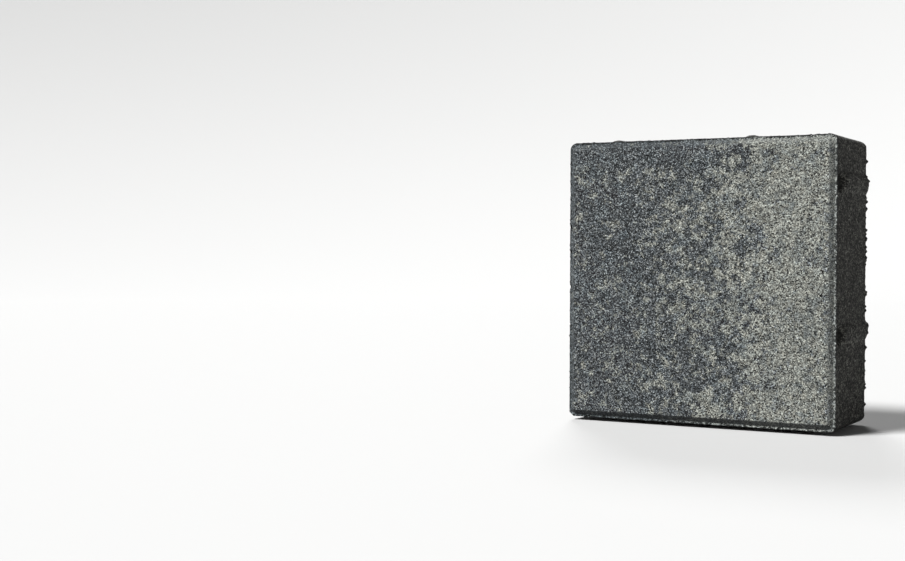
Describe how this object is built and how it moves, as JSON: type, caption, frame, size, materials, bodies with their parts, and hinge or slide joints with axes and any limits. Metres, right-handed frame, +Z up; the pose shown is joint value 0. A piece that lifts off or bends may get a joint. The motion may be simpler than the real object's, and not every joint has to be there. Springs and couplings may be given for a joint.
{
  "type": "concrete paver",
  "caption": "Square vibropressed concrete paver with a bevelled wearing face, a narrow press lip and spacer nibs on its sides, standing on edge.",
  "frame": {"origin": "centre of the footprint on the floor: the paver stands on the nibs of its lower side", "axes": "+Z up; the wearing face looks towards -Y and the bed face towards +Y; +X to the right as seen from the wearing face"},
  "size_m": [0.162, 0.06, 0.162],
  "materials": {
    "concrete": "rough vibropressed concrete, mottled anthracite and light grey"
  },
  "bodies": {
    "root": {"paver": "concrete"}
  },
  "joints": []
}
